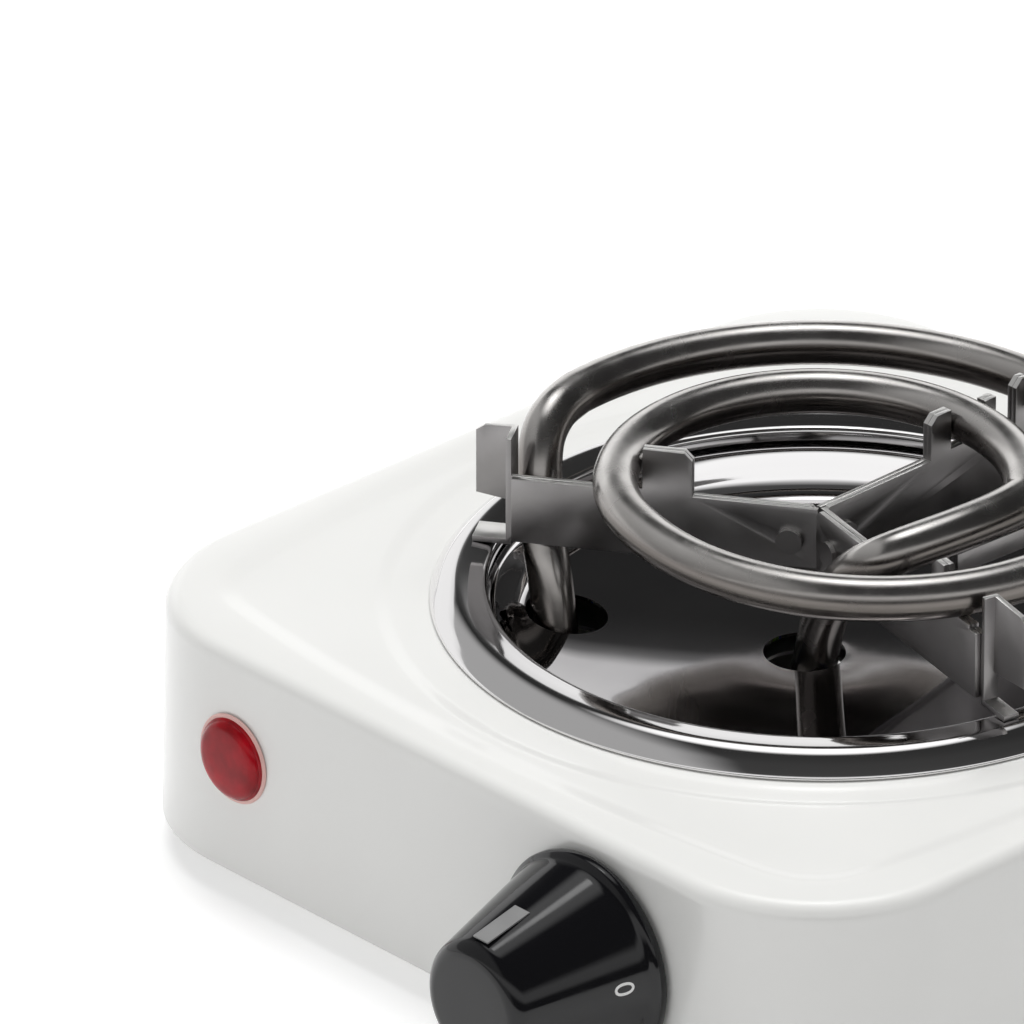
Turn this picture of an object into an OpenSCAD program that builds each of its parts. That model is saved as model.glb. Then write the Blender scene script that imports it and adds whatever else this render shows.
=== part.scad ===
// Single-coil hot plate: square steel body, reflector bowl, tubular coil on a three-armed support,
// front control knob and pilot lamp. The origin lies under the middle, on the surface it stands on.
// X runs to the right, Y to the back, Z up, in millimetres.

/* [Body] */
// Length of each side of the body at its top edge
body_w = 146; // [140:1:165]
// Corner radius of the body seen from above
corner_r = 25; // [20:1:30]
// Height of the shell from its lower rim to the top edge
shell_h = 34.5; // [34:0.25:45]
// Radius of the bend between top and sides
edge_r = 2.5; // [1.5:0.5:4]
// How far each side leans out towards the lower rim
side_lean = 0.8; // [0.2:0.1:1.5]
// Thickness of the sheet steel of shell and base
sheet_t = 0.8; // [0.6:0.1:1.2]
// Depth of the deck below the top edge
deck_drop = 0.4; // [0.2:0.1:0.8]
// Distance from the top edge to the deck at the middle of a side
deck_inset = 6.5; // [5:0.5:9]
// How far the deck's sides bow outwards
deck_bow = 6.5; // [3:0.5:9]
// Radius of the round ring seat sunk into the deck
seat_r = 62; // [60:1:64]
// Depth of the ring seat below the deck
seat_drop = 0.4; // [0.2:0.1:0.8]

/* [Feet] */
// Height of the rubber feet below the lower rim
foot_h = 5; // [4:0.5:8]
// Radius of a rubber foot
foot_r = 7; // [6:0.5:9]
// Distance from a foot's axis to the body's side
foot_inset = 18; // [16:1:22]
// Shaft radius of the foot screws
foot_screw_r = 2; // [1.5:0.25:2.5]

/* [Bowl and ring] */
// Width of the chrome ring outside its crest
ring_w = 6.3; // [5.8:0.5:8.3]
// Distance from the bowl's mouth out to the ring's crest
crest_in = 2.4; // [1.9:0.1:3.4]
// Height of the ring's crest above its seat
crest_h = 3.4; // [2.8:0.1:4]
// Inside radius of the bowl's mouth
bowl_r = 46.6; // [46:0.2:47]
// Depth of the bowl below the ring seat at its middle
bowl_depth = 8.8; // [8:0.2:10]
// Thickness of bowl and ring sheet
bowl_t = 0.5; // [0.4:0.1:0.6]
// Radius of the two holes for the coil's ends
lead_hole_r = 5.9; // [5.5:0.1:6.5]

/* [Coil] */
// Diameter of the tubular sheath
tube_d = 6.5; // [6:0.1:7]
// Height of the sheath's centreline above the ring seat
coil_rise = 18.3; // [17.5:0.1:20]
// Centreline radius of the outer turn
outer_turn_r = 44.6; // [44:0.2:45.6]
// Centreline radius of the inner turn
inner_turn_r = 29; // [28.6:0.2:29.6]

/* [Coil support] */
// Thickness of the support strips
strip_t = 0.8; // [0.6:0.1:1]
// Height of the support strips
strip_h = 10.6; // [9:0.2:11]
// Height of the tabs above the underside of the sheath
tab_h = 6.2; // [4:0.2:6.2]

/* [Knob] */
// Radius of the knob's skirt
knob_r = 15.7; // [15:0.1:16.4]
// Length of the knob from its skirt to its front
knob_l = 22.5; // [21:0.5:28]
// Radius of the knob's body at the front
knob_tip_r = 9.8; // [9:0.1:11]
// Distance of the knob's axis to the right of the middle
knob_x = 30.5; // [28:0.5:35]
// Depth of the knob's axis below the top edge
knob_drop = 18.1; // [17.5:0.1:19.5]
// Radius of the control shaft
shaft_r = 3; // [2.8:0.1:3.2]

/* [Pilot lamp] */
// Radius of the pilot lens
lens_r = 6; // [5.6:0.1:7]
// Distance of the lens from the left side
lens_side = 30.1; // [28:0.1:32]
// Depth of the lens below the top edge
lens_drop = 16.3; // [14:0.1:17]

/* [Cord inlet] */
// Bore radius of the cord bush
cord_bore_r = 3.6; // [3:0.1:4]
// Distance of the cord bush from the right side
cord_side = 33; // [31:1:37]

/* [Hidden] */

$fn = 96;
eps = 0.01;
gap = 0.2;
rest_gap = 0.05;
half_w = body_w / 2;
corner_c = half_w - corner_r;
crest_r = bowl_r + crest_in;
ring_r = crest_r + ring_w;
lens_x = half_w - lens_side;
cord_x = half_w - cord_side;
top_z = foot_h + shell_h;
deck_z = top_z - deck_drop;
seat_z = deck_z - seat_drop;
crest_z = seat_z + crest_h;
coil_z = seat_z + coil_rise;
tube_r = tube_d / 2;
roof_z = seat_z - sheet_t;

// ---- helpers ----
function unit(v) = v / norm(v);
function lerp(a, b, t) = a + (b - a) * t;
function ease(t) = t <= 0 ? 0 : t >= 1 ? 1 : t * t * (3 - 2 * t);
function polar(r, a, z) = [r * cos(a), r * sin(a), z];

// Catmull-Rom curve through points, with n steps between neighbours
function curve_at(p, i, t) =
    let (a = p[max(i - 1, 0)], b = p[i], c = p[i + 1], d = p[min(i + 2, len(p) - 1)])
    0.5 * (2 * b + (c - a) * t + (2 * a - 5 * b + 4 * c - d) * t * t
           + (3 * b - a - 3 * c + d) * t * t * t);
function smooth_path(p, n) = concat([for (i = [0 : len(p) - 2], k = [0 : n - 1]) curve_at(p, i, k / n)],
                                    [p[len(p) - 1]]);
function tangent(p, i) = unit(p[min(i + 1, len(p) - 1)] - p[max(i - 1, 0)]);
function square_to(n, t) = unit(n - (n * t) * t);
function side_normals(p, n) = [for (i = 0, m = square_to(n, tangent(p, 0)); i < len(p);
                                    i = i + 1, m = i < len(p) ? square_to(m, tangent(p, i)) : m) m];

// Round tube swept along a path; start_n is any direction across its first stretch
module tube(path, r, sides, start_n) {
    m = side_normals(path, start_n);
    pts = [for (i = [0 : len(path) - 1], k = [0 : sides - 1])
           let (a = 360 * k / sides, b = cross(tangent(path, i), m[i]))
           path[i] + r * (cos(a) * m[i] + sin(a) * b)];
    last = (len(path) - 1) * sides;
    walls = [for (i = [0 : len(path) - 2], k = [0 : sides - 1])
             let (j = (k + 1) % sides, s = i * sides)
             [s + k, s + sides + k, s + sides + j, s + j]];
    polyhedron(points = pts,
               faces = concat([[for (k = [0 : sides - 1]) k]],
                              [[for (k = [sides - 1 : -1 : 0]) last + k]], walls),
               convexity = 8);
}

// Rounded square plate outline
module plate_2d(half, r) {
    square([2 * half, 2 * (half - r)], center = true);
    square([2 * (half - r), 2 * half], center = true);
    for (x = [-1, 1], y = [-1, 1]) {
        translate([x * (half - r), y * (half - r)]) circle(r = r);
    }
}

// Solid of the body's outside, drawn in by inset everywhere
module body_block(z0, z1, inset) {
    bend = edge_r - inset;
    function lean(z) = side_lean * (top_z - z) / shell_h;
    layers = concat([[z0, lean(z0)]],
                    [for (a = [0 : 15 : 90]) let (z = z1 - bend + bend * sin(a))
                     [z - (a == 90 ? eps : 0), lean(z) - bend * (1 - cos(a))]]);
    hull() {
        for (l = layers, x = [-1, 1], y = [-1, 1]) {
            translate([x * corner_c, y * corner_c, l[0]])
                cylinder(h = eps, r = corner_r + l[1] - inset, $fn = 40);
        }
    }
}

module ring_2d(r_out, r_in) {
    difference() {
        circle(r = r_out);
        circle(r = r_in);
    }
}

// Placed with its axis along -Y through a point of the front wall
module from_front(x, z) {
    translate([x, front_y, z]) rotate([90, 0, 0]) children();
}

front_y = -half_w - side_lean / 2;
knob_z = top_z - knob_drop;
lens_z = top_z - lens_drop;
wall_in = sheet_t + side_lean / 2;

// ---- housing ----
deck_r = ((half_w - deck_bow) * (half_w - deck_bow) + deck_bow * deck_bow) / (2 * deck_bow);
deck_half = half_w - deck_inset;

module deck_2d() {
    intersection() {
        translate([deck_half - deck_r, 0]) circle(r = deck_r, $fn = 360);
        translate([deck_r - deck_half, 0]) circle(r = deck_r, $fn = 360);
        translate([0, deck_half - deck_r]) circle(r = deck_r, $fn = 360);
        translate([0, deck_r - deck_half]) circle(r = deck_r, $fn = 360);
        circle(r = deck_half * 1.23);
    }
}

shell_hole_r = bowl_r + 2.4;
thermo_screw_dx = 9.5;
thermo_screw_r = 1.5;
shaft_hole_r = shaft_r + 2.2;
lens_stem_r = lens_r - 1.3;
bush_neck_r = cord_bore_r + 2.2;
cord_z = foot_h + 15;

module housing_shell() {
    color("white") difference() {
        union() {
            difference() {
                body_block(foot_h, top_z, 0);
                body_block(foot_h - 1, top_z - sheet_t, sheet_t);
            }
            translate([0, 0, deck_z - sheet_t]) linear_extrude(deck_drop + sheet_t / 2)
                plate_2d(deck_half + 1, 8);
            translate([0, 0, roof_z]) cylinder(h = seat_drop + sheet_t, r = seat_r + sheet_t);
        }
        translate([0, 0, deck_z]) linear_extrude(5) deck_2d();
        translate([0, 0, seat_z]) cylinder(h = 5, r = seat_r);
        translate([0, 0, roof_z - 1]) cylinder(h = 10, r = shell_hole_r);
        from_front(knob_x, knob_z) translate([0, 0, -6]) cylinder(h = 12, r = shaft_hole_r);
        for (s = [-1, 1]) {
            from_front(knob_x + s * thermo_screw_dx, knob_z)
                translate([0, 0, -6]) cylinder(h = 12, r = thermo_screw_r + 0.15);
        }
        from_front(-lens_x, lens_z) translate([0, 0, -6]) cylinder(h = 12, r = lens_stem_r + 0.1);
        translate([cord_x, half_w - 6, cord_z]) rotate([-90, 0, 0]) cylinder(h = 12, r = bush_neck_r);
    }
}

// ---- base, brackets and feet ----
foot_c = half_w - foot_inset;
base_z = foot_h + 0.6;
base_top = base_z + sheet_t;
bracket_w = 10;
bracket_leg = 12;
bracket_t = 1.2;
pad_half = 7;

module at_feet() {
    for (x = [-1, 1], y = [-1, 1]) translate([x * foot_c, y * foot_c, 0]) children();
}

// Angle bracket at each foot, whose upright leg lies against the flat part of the side wall
module corner_brackets() {
    reach = half_w - sheet_t + side_lean * 0.45 - foot_c;
    leg_y = corner_c - foot_c - 1 - bracket_w;
    color("silver") for (x = [-1, 1], y = [-1, 1]) mirror([x < 0 ? 1 : 0, 0, 0])
        mirror([0, y < 0 ? 1 : 0, 0]) translate([foot_c, foot_c, base_top]) {
        difference() {
            union() {
                translate([-pad_half, leg_y, 0]) cube([2 * pad_half, pad_half - leg_y, bracket_t]);
                translate([-pad_half, leg_y, 0]) cube([pad_half + reach, bracket_w, bracket_t]);
                translate([reach - bracket_t, leg_y, 0]) cube([bracket_t, bracket_w, bracket_leg]);
            }
            translate([0, 0, -1]) cylinder(h = 4, r = foot_screw_r - 0.25);
        }
    }
}

module base_plate() {
    half = half_w + side_lean * 0.9 - sheet_t - gap;
    color("gainsboro") difference() {
        translate([0, 0, base_z]) linear_extrude(sheet_t) plate_2d(half, half - corner_c);
        at_feet() translate([0, 0, base_z - 1]) cylinder(h = 4, r = foot_screw_r + 0.2);
        for (i = [-3 : 3], s = [-1, 1]) {
            translate([i * 9, s * 30, base_z - 1]) linear_extrude(4) union() {
                square([3.2, 16], center = true);
                for (e = [-8, 8]) translate([0, e]) circle(r = 1.6);
            }
        }
    }
}

module rubber_feet() {
    color("dimgray") at_feet() difference() {
        rotate_extrude() polygon([[0, 0], [foot_r - 1.2, 0], [foot_r - 0.6, 0.6], [foot_r, base_z],
                                  [0, base_z]]);
        translate([0, 0, base_z - 3]) cylinder(h = 4, r = foot_screw_r + 0.2);
        translate([0, 0, -1]) cylinder(h = base_z - 2, r = foot_screw_r + 2.2);
    }
}

module foot_screws() {
    color("silver") at_feet() difference() {
        union() {
            translate([0, 0, base_z - 3]) cylinder(h = sheet_t + 9, r = foot_screw_r - 0.3);
            translate([0, 0, base_z - 5]) cylinder(h = 2, r = foot_screw_r + 1.8);
        }
        translate([0, 0, base_z - 5.5]) linear_extrude(1.5) union() {
            square([4.4, 0.8], center = true);
            square([0.8, 4.4], center = true);
        }
    }
}

// ---- ring, bowl and shield ----
lip_r = bowl_r + 0.5;
flange_r = bowl_r + 5;

// Points of a quarter ellipse about [cx, cy], from angle a0 to a1
function ellipse_arc(cx, cy, rx, ry, a0, a1, n) =
    [for (k = [0 : n]) let (a = lerp(a0, a1, k / n)) [cx + rx * cos(a), cy + ry * sin(a)]];

module trim_ring() {
    out_w = ring_r - crest_r;
    in_w = crest_r - lip_r;
    color("silver") translate([0, 0, seat_z]) rotate_extrude() polygon(concat(
        ellipse_arc(crest_r, 0, out_w, crest_h, 0, 90, 10),
        ellipse_arc(crest_r, crest_h / 2, in_w, crest_h / 2, 100, 180, 5),
        ellipse_arc(crest_r, crest_h / 2, in_w - bowl_t, crest_h / 2 - bowl_t, 180, 100, 5),
        ellipse_arc(crest_r, 0, out_w - bowl_t, crest_h - bowl_t, 90, 0, 10)));
}

lead_hole = unit([-30.3, -20.6]) * (bowl_r - 9.96);
mid_hole = [-1.4, -1.4];
bowl_z = seat_z - bowl_depth;
wall_foot_r = bowl_r - 4.4;
wall_foot_z = bowl_z + bowl_depth * 0.3;

// Inside line of the bowl from its middle to its rim, lowered by t
function bowl_line(t) = concat(
    [[0, bowl_z - t], [wall_foot_r * 0.55, bowl_z + 0.3 - t]],
    ellipse_arc(wall_foot_r - 5, bowl_z + 6 - t, 6.5 + t * 0.6, 5.3, -90, -25, 6),
    [[bowl_r - 0.5 + t, seat_z - 1.2]]);

module lead_cuts(r) {
    for (h = [lead_hole, mid_hole]) translate([h[0], h[1], foot_h + 5]) cylinder(h = 40, r = r);
}

module reflector_bowl() {
    outer = bowl_line(bowl_t);
    color("gainsboro") difference() {
        rotate_extrude() polygon(concat(
            bowl_line(0),
            [[bowl_r, seat_z + bowl_t], [flange_r, seat_z + bowl_t], [flange_r, seat_z],
             [bowl_r + bowl_t, seat_z]],
            [for (i = [len(outer) - 1 : -1 : 0]) outer[i]]));
        lead_cuts(lead_hole_r);
    }
}

shield_r = shell_hole_r + 2;
shield_z = bowl_z - 3;

module heat_shield() {
    color("lightsteelblue") difference() {
        union() {
            translate([0, 0, shield_z - bowl_t]) cylinder(h = bowl_t, r = shield_r);
            translate([0, 0, shield_z - bowl_t]) linear_extrude(roof_z - shield_z + bowl_t)
                ring_2d(shield_r, shield_r - bowl_t);
            translate([0, 0, roof_z - bowl_t]) linear_extrude(bowl_t)
                ring_2d(shield_r + 4, shield_r - bowl_t);
        }
        lead_cuts(lead_hole_r + 0.6);
    }
}

// ---- heating coil ----
turn_start = 187;
blend_start = 57;
blend_end = -111;
turn_end = -323;
coil_step = 8;
coil_sides = 12;
outer_out = outer_turn_r / 44.6;
inner_out = inner_turn_r / 29;
lead_end_z = shield_z - 5.5;

function turn_r(a) = lerp(outer_turn_r, inner_turn_r, ease((blend_start - a) / (blend_start - blend_end)));
turn_pts = [for (a = [turn_start : -coil_step : turn_end]) polar(turn_r(a), a, coil_z)];
lead_pts = [[lead_hole[0] + 0.4, lead_hole[1] - 2, lead_end_z],
            [lead_hole[0] + 0.4, lead_hole[1] - 2, bowl_z - 5],
            [lead_hole[0] - 0.4, lead_hole[1] - 1.8, bowl_z],
            [-33.1, -21.2, bowl_z + 7] + (outer_out - 1) * [-33.1, -21.2, 0] / 2,
            [-36.4 * outer_out, -19.4 * outer_out, coil_z - 14],
            [-40.4 * outer_out, -16.2 * outer_out, coil_z - 4.4],
            [-42.7 * outer_out, -11.6 * outer_out, coil_z - 0.8]];
tail_pts = [[23.9 * inner_out, 11.6 * inner_out, coil_z],
            [23.4 * inner_out, 2.7 * inner_out, coil_z - 0.1],
            [20.6 * inner_out, -6.6 * inner_out, coil_z - 1.4],
            [16 * inner_out, -8.6 * inner_out, coil_z - 5],
            [10.9, -7.4, coil_z - 10.6],
            [5.6, -4.6, bowl_z + 9],
            [1.2, -1.4, bowl_z + 1.4],
            [mid_hole[0] + 0.4, mid_hole[1] + 0.4, bowl_z - 5],
            [mid_hole[0] + 0.4, mid_hole[1] + 0.4, lead_end_z]];
last_turn = len(turn_pts) - 1;
end_steps = 3;
lead_path = smooth_path(concat(lead_pts, [turn_pts[0], turn_pts[1]]), end_steps);
tail_path = smooth_path(concat([turn_pts[last_turn - 1], turn_pts[last_turn]], tail_pts), end_steps);
coil_path = concat([for (i = [0 : end_steps * len(lead_pts) - 1]) lead_path[i]], turn_pts,
                   [for (i = [end_steps + 1 : len(tail_path) - 1]) tail_path[i]]);

module coil_sheath() {
    color("darkgray") tube(coil_path, tube_r, coil_sides, [1, 0, 0]);
}

seal_gap = 0.3;

module at_lead_ends() {
    for (p = [lead_pts[0], tail_pts[len(tail_pts) - 1]]) translate(p) children();
}

module coil_end_seals() {
    color("ivory") at_lead_ends() translate([0, 0, -1.6 - seal_gap]) linear_extrude(1.6)
        ring_2d(tube_r - 0.3, 1.2);
}

module coil_terminal_pins() {
    color("goldenrod") at_lead_ends() {
        translate([0, 0, -6]) cylinder(h = 6 - seal_gap, r = 1.15);
        translate([0, 0, -6]) cylinder(h = 1, r = 2.4);
    }
}

// ---- coil support ----
// Each arm: its direction, then the runs of tube that it carries as [inside radius, outside radius]
arm_left = 214;
arm_back = 90.5;
arm_right = 346;
seat_top = coil_z - tube_r - rest_gap;
strip_top = seat_top - 0.6;
strip_low = strip_top - strip_h + 0.6;
tab_top = seat_top + tab_h;
jog_r = outer_turn_r + 0.4;
left_jog_r = outer_turn_r + 1;
tab_low = coil_z - 9;
back_turn_r = turn_r(arm_back);
back_inner_r = inner_turn_r;
right_turn_r = turn_r(arm_right - 360);
back_jog_r = back_turn_r + tube_r + strip_t + 0.4;

// One sheet of an arm along +X: profile in X-Z, from y0 to y0 + strip_t
module sheet(y0, pts) {
    translate([0, y0 + strip_t, 0]) rotate([90, 0, 0]) linear_extrude(strip_t) polygon(pts);
}

// Raised saddle below a run of tube of centre radius r, with tabs inside and outside it
function saddle(r, tab_in, tab_out) =
    let (a = r - tube_r - gap, b = r + tube_r + gap)
    concat([[a - tab_in, strip_top], [a - tab_in, tab_top - 1.2], [a - tab_in + 1.2, tab_top],
            [a, tab_top], [a, seat_top], [b, seat_top]],
           tab_out > 0 ? [[b, tab_top - 1], [b + tab_out, tab_top - 1]] : [],
           [[b + tab_out, strip_top]]);

// Arm sheet whose outer end reaches end_r, with saddles listed as [radius, inner tab, outer tab] and
// a dip in its top edge from dip[0] to dip[1]; its inner end's corners are cut off by nip
module arm_sheet(y0, runs, end_r, dip, nip = 0) {
    inner = nip == 0 ? [[fold_gap, strip_low], [fold_gap, strip_top]]
        : [[fold_gap + nip, strip_low], [fold_gap, strip_low + nip], [fold_gap, strip_top - nip],
           [fold_gap + nip, strip_top]];
    tops = [for (r = runs, p = saddle(r[0], r[1], r[2])) if (p[0] <= end_r) p];
    notch = [[dip[0], strip_top], [dip[0] + 1, dip_z], [dip[1] - 1, dip_z], [dip[1], strip_top]];
    sheet(y0, concat(inner, dip[1] > dip[0] ? notch : [], tops,
                     [[end_r, tops[len(tops) - 1][1]], [end_r, strip_low]]));
}

// Outer end of an arm at radius r: a step across, a foot on the ring's crest and a tab out to end_r
module arm_end(r, out, end_r) {
    z0 = crest_z + rest_gap;
    translate([r - strip_t, 0, z0]) cube([strip_t, out + strip_t, tab_top - 1 - z0]);
    translate([r - strip_t, 0, z0]) cube([max(crest_r + 1.5, r) - r + strip_t, out + strip_t, strip_t]);
    sheet(out, [[r - strip_t, tab_low - 1], [end_r, tab_low], [end_r, tab_top - 2],
                [end_r - 1.2, tab_top - 1.2], [r - strip_t, tab_top - 1]]);
}

rivet_at = 4.2;
rivet_r = 1.2;

module rivet_holes() {
    for (a = [arm_left, arm_back, arm_right]) {
        rotate([0, 0, a]) translate([rivet_at, 0, strip_low + strip_h / 2 - 0.6]) rotate([90, 0, 0])
            cylinder(h = 6, r = rivet_r, center = true);
    }
}

left_runs = [[inner_turn_r, 7.2, 0]];
back_runs = [[back_inner_r, 4, 2.2], [back_turn_r, 2.4, 0]];
right_runs = [[right_turn_r, 3.2, 0]];
half_sheet = rest_gap / 2;
fold_gap = 0.15;
corner_nip = 1;
no_dip = [0, 0];
tail_dip = [12.5, 26] * inner_out;
dip_z = strip_top - 1.8;

module strip_cut() {
    difference() {
        children();
        rivet_holes();
    }
}

// Left arm and back arm
module support_strip_left_back() {
    color("gray") strip_cut() {
        rotate([0, 0, arm_left]) {
            arm_sheet(-strip_t - half_sheet, left_runs, left_jog_r, no_dip, corner_nip);
            translate([0, -half_sheet, 0]) mirror([0, 1, 0]) arm_end(left_jog_r, 4, left_jog_r + 5.2);
        }
        rotate([0, 0, arm_back]) arm_sheet(half_sheet, back_runs, back_jog_r - strip_t - gap, no_dip);
    }
}

// Back arm and right arm
module support_strip_back_right() {
    color("gray") strip_cut() {
        rotate([0, 0, arm_back]) {
            arm_sheet(-strip_t - half_sheet, back_runs, back_jog_r, no_dip, corner_nip);
            translate([0, -half_sheet, 0]) mirror([0, 1, 0]) arm_end(back_jog_r, 3, back_jog_r + 2.95);
        }
        rotate([0, 0, arm_right]) {
            arm_sheet(half_sheet, right_runs, jog_r, tail_dip);
            translate([0, half_sheet, 0]) arm_end(jog_r, 1.6, jog_r + 8);
        }
    }
}

// Right arm and left arm
module support_strip_right_left() {
    color("gray") strip_cut() {
        rotate([0, 0, arm_right])
            arm_sheet(-strip_t - half_sheet, right_runs, jog_r - strip_t - gap, tail_dip, corner_nip);
        rotate([0, 0, arm_left])
            arm_sheet(half_sheet, left_runs, left_jog_r - strip_t - gap, no_dip);
    }
}

module support_rivets() {
    color("silver") for (a = [arm_left, arm_back, arm_right]) {
        rotate([0, 0, a]) translate([rivet_at, 0, strip_low + strip_h / 2 - 0.6]) rotate([90, 0, 0]) {
            cylinder(h = 2 * (strip_t + half_sheet + 0.7), r = rivet_r - 0.02, center = true);
            for (s = [-1, 1]) {
                translate([0, 0, s * (strip_t + half_sheet + 0.35)])
                    cylinder(h = 0.7, r = rivet_r + 0.7, center = true);
            }
        }
    }
}

// Folded rail below the straight inner end of the coil
rail_w = 2;
rail_h = 3.2;
rail_y0 = 3.2 * inner_out;
rail_y1 = 22 * inner_out;

module inner_end_rail() {
    wall = strip_t * 0.7;
    turn = atan2(tail_pts[0][0] - tail_pts[1][0], tail_pts[0][1] - tail_pts[1][1]);
    color("gray") translate([tail_pts[1][0], rail_y0, seat_top - rail_h]) rotate([0, 0, -turn])
        translate([-rail_w / 2, 0, 0]) {
            translate([0, 0, rail_h - wall]) cube([rail_w, rail_y1 - rail_y0, wall]);
            for (x = [0, rail_w - wall]) translate([x, 0, 0]) cube([wall, rail_y1 - rail_y0, rail_h]);
        }
}

// ---- pilot lamp ----
lens_out = 1.8;
flange_back = rest_gap + side_lean * (lens_r + 0.3) / shell_h;

module pilot_lens() {
    color("crimson") from_front(-lens_x, lens_z) difference() {
        rotate_extrude() polygon(concat(
            [[0, -7.5], [lens_stem_r, -7.5], [lens_stem_r, flange_back], [lens_r + 0.3, flange_back],
             [lens_r + 0.3, 0.6], [lens_r - 0.1, 0.7]],
            ellipse_arc(lens_r - 1.2, lens_out - 1, 1.1, 1, 0, 90, 5),
            [[0, lens_out + 0.15]]));
        translate([0, 0, -8]) cylinder(h = 8, r = lens_stem_r - 1);
    }
}

module lamp_push_nut() {
    color("silver") from_front(-lens_x, lens_z)
        translate([0, 0, -wall_in - 0.7]) linear_extrude(0.5) ring_2d(lens_stem_r + 2.6, lens_stem_r + 0.03);
}

module lamp_holder() {
    color("whitesmoke") from_front(-lens_x, lens_z) difference() {
        translate([0, 0, -16]) cylinder(h = 16 - wall_in - 1.2, r = lens_stem_r + 1.2);
        translate([0, 0, -14.5]) cylinder(h = 16, r = lens_stem_r + 0.03);
        for (s = [-1, 1]) translate([s * 1.6, 0, -17]) cylinder(h = 4, r = 0.75);
    }
}

module neon_bulb() {
    color("orange") from_front(-lens_x, lens_z) {
        translate([0, 0, -14.4]) cylinder(h = 10, r = 2.7);
        translate([0, 0, -4.4]) sphere(r = 2.7);
    }
}

// ---- knob and thermostat ----
knob_gap = side_lean / 2 + 0.4;
socket_l = 15;
knob_wall = 2;
hub_r = shaft_r + 2.2;

module d_shaft(r, flat, h) {
    difference() {
        cylinder(h = h, r = r);
        translate([-r - 1, r - flat, -1]) cube([2 * r + 2, flat + 2, h + 2]);
    }
}

pointer_a = 90;
pointer_start = 11.5;
pointer_l = 8.2;
pointer_w = 3;

module pointer_place() {
    lean = atan((knob_r - 0.9 - knob_tip_r) / knob_l);
    rotate([0, 0, pointer_a]) translate([knob_r - 0.9, 0, knob_gap + 1.5]) rotate([0, -lean, 0]) children();
}

module knob() {
    tip_round = 2.6;
    end = knob_gap + knob_l;
    color([0.06, 0.06, 0.06]) from_front(knob_x, knob_z) difference() {
        rotate_extrude() polygon(concat(
            [[0, knob_gap], [knob_r - 0.3, knob_gap], [knob_r, knob_gap + 0.4], [knob_r, knob_gap + 1.6],
             [knob_r - 0.9, knob_gap + 2.2]],
            ellipse_arc(knob_tip_r - tip_round, end - tip_round, tip_round, tip_round, 8, 90, 6),
            [[0, end]]));
        translate([0, 0, -1]) cylinder(h = knob_gap + 1 + 6, r = knob_r - knob_wall - 1);
        translate([0, 0, -1]) d_shaft(shaft_r + 0.05, 1, socket_l + 1);
        difference() {
            translate([0, 0, -1]) cylinder(h = knob_gap + 1 + socket_l, r = knob_tip_r - knob_wall - 0.8);
            translate([0, 0, -2]) cylinder(h = 40, r = hub_r);
        }
        pointer_place() translate([-0.6, -pointer_w / 2, pointer_start]) cube([3, pointer_w, pointer_l]);
    }
}

module knob_pointer() {
    color("gray") from_front(knob_x, knob_z) pointer_place()
        translate([-0.6, -pointer_w / 2, pointer_start] + rest_gap * [1, 1, 1])
            cube([0.25, pointer_w - 2 * rest_gap, pointer_l - 2 * rest_gap]);
}

module knob_spring() {
    color("silver") from_front(knob_x, knob_z)
        translate([0, 0, knob_gap + 7.5]) linear_extrude(3) ring_2d(hub_r + 0.8, hub_r + 0.05);
}

shaft_in = 15;
cam_low_r = 3.6;
cam_lift = 0.8;
cam_z = -shaft_in;

// Cam outline whose radius at the bottom grows steadily as the knob turns through its travel
travel = 270;
function cam_r(a) = cam_low_r + cam_lift * min(a, travel) / travel;
cam_pts = concat([for (a = [0 : 10 : travel]) [cam_r(a) * cos(270 + a), cam_r(a) * sin(270 + a)]],
                 [for (a = [travel + 15 : 15 : 345]) [cam_low_r * cos(270 + a), cam_low_r * sin(270 + a)]]);

module thermostat_shaft() {
    color("silver") from_front(knob_x, knob_z) {
        translate([0, 0, 0.2]) d_shaft(shaft_r, 1, socket_l - 0.4);
        translate([0, 0, cam_z + 2]) cylinder(h = shaft_in - 1.8, r = shaft_r);
        translate([0, 0, cam_z]) linear_extrude(2) polygon(cam_pts);
    }
}

bush_out_r = shaft_r + 1.8;

module thermostat_bush() {
    color("goldenrod") from_front(knob_x, knob_z) translate([0, 0, -wall_in - 9.5])
        linear_extrude(9.5 + wall_in) ring_2d(bush_out_r, shaft_r + 0.05);
}

arm_low_z = foot_h + 4.6;
stack_y = 32;
stack_r = 5;
bracket_hw = 13.5;

module thermostat_bracket() {
    color("lightgray") {
        from_front(knob_x, knob_z) difference() {
            translate([-bracket_hw, arm_low_z - knob_z, -wall_in - bracket_t - rest_gap])
                cube([2 * bracket_hw, knob_z - arm_low_z + 8, bracket_t]);
            translate([0, 0, -9]) cylinder(h = 12, r = bush_out_r + 0.02);
            for (s = [-1, 1]) {
                translate([s * thermo_screw_dx, 0, -9]) cylinder(h = 12, r = thermo_screw_r + 0.02);
            }
        }
        translate([knob_x, front_y + wall_in + rest_gap + 0.1, arm_low_z]) difference() {
            translate([-6, 0, 0]) cube([12, stack_y + 6, bracket_t]);
            translate([0, stack_y - wall_in, -1]) cylinder(h = 4, r = 1.55);
        }
    }
}

module thermostat_screws() {
    color("silver") for (s = [-1, 1]) {
        from_front(knob_x + s * thermo_screw_dx, knob_z) {
            translate([0, 0, -6]) cylinder(h = 6.1, r = thermo_screw_r);
            translate([0, 0, 0.1]) difference() {
                cylinder(h = 0.8 + side_lean / 2 - 0.1, r = thermo_screw_r + 1.1);
                translate([-3, -0.3, 0.5]) cube([6, 0.6, 2]);
            }
        }
    }
}

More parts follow.
